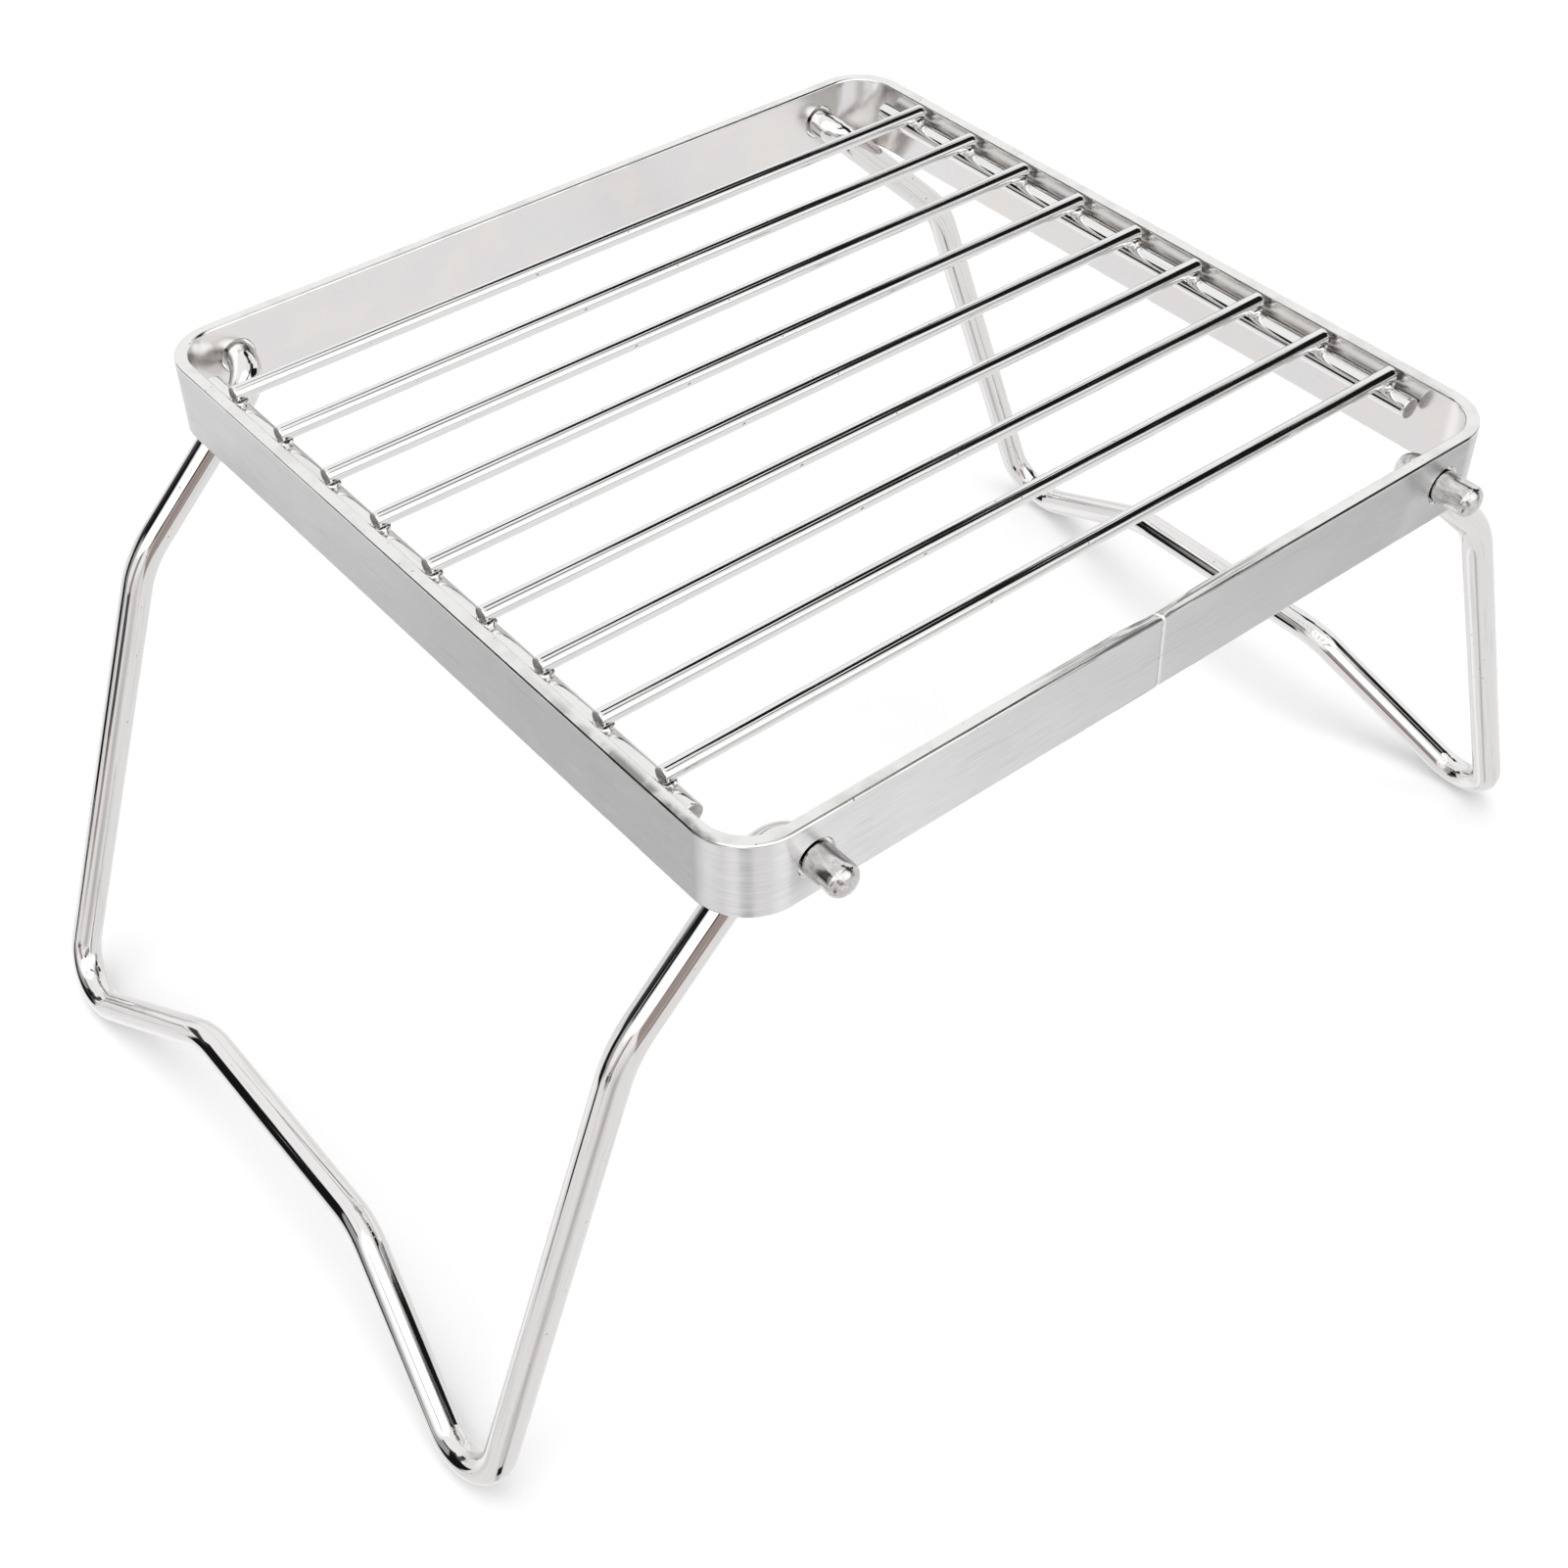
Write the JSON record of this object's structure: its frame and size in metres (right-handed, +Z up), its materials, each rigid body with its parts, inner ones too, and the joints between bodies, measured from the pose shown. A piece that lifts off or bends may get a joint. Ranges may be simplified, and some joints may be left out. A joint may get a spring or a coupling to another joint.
{
  "type": "folding camp grill",
  "caption": "Small square cooking rack of flat bar with a row of grill wires, standing on two wide folding legs of bent round rod.",
  "frame": {"origin": "on the ground under the rack's centre, midway between the four feet", "axes": "+X along the grill wires, from the left leg to the right one; +Y along the hinge axes, away from the side with the weld seam; +Z up"},
  "size_m": [0.2744, 0.1852, 0.1315],
  "materials": {
    "satin_band": "satin, fine lines along the bar",
    "cross_rod_steel": "bright drawn",
    "grill_wire_steel": "polished",
    "leg_steel": "mirror polished"
  },
  "bodies": {
    "rack": {"frame_band": "satin_band", "cross_rod_left": "cross_rod_steel", "cross_rod_right": "cross_rod_steel", "grill_wire_1": "grill_wire_steel", "grill_wire_2": "grill_wire_steel", "grill_wire_3": "grill_wire_steel", "grill_wire_4": "grill_wire_steel", "grill_wire_5": "grill_wire_steel", "grill_wire_6": "grill_wire_steel", "grill_wire_7": "grill_wire_steel", "grill_wire_8": "grill_wire_steel", "grill_wire_9": "grill_wire_steel"},
    "left_leg": {"left_leg": "leg_steel"},
    "right_leg": {"right_leg": "leg_steel"}
  },
  "joints": [
    {"name": "right_leg_fold", "type": "hinge", "parent": "rack", "child": "right_leg", "pos_m": [0.0701, 0, 0.12342], "axis": [0, 1, 0], "range_deg": [0, 118.8]},
    {"name": "left_leg_fold", "type": "hinge", "parent": "rack", "child": "left_leg", "pos_m": [-0.0701, 0, 0.12342], "axis": [0, -1, 0], "range_deg": [0, 92]}
  ]
}
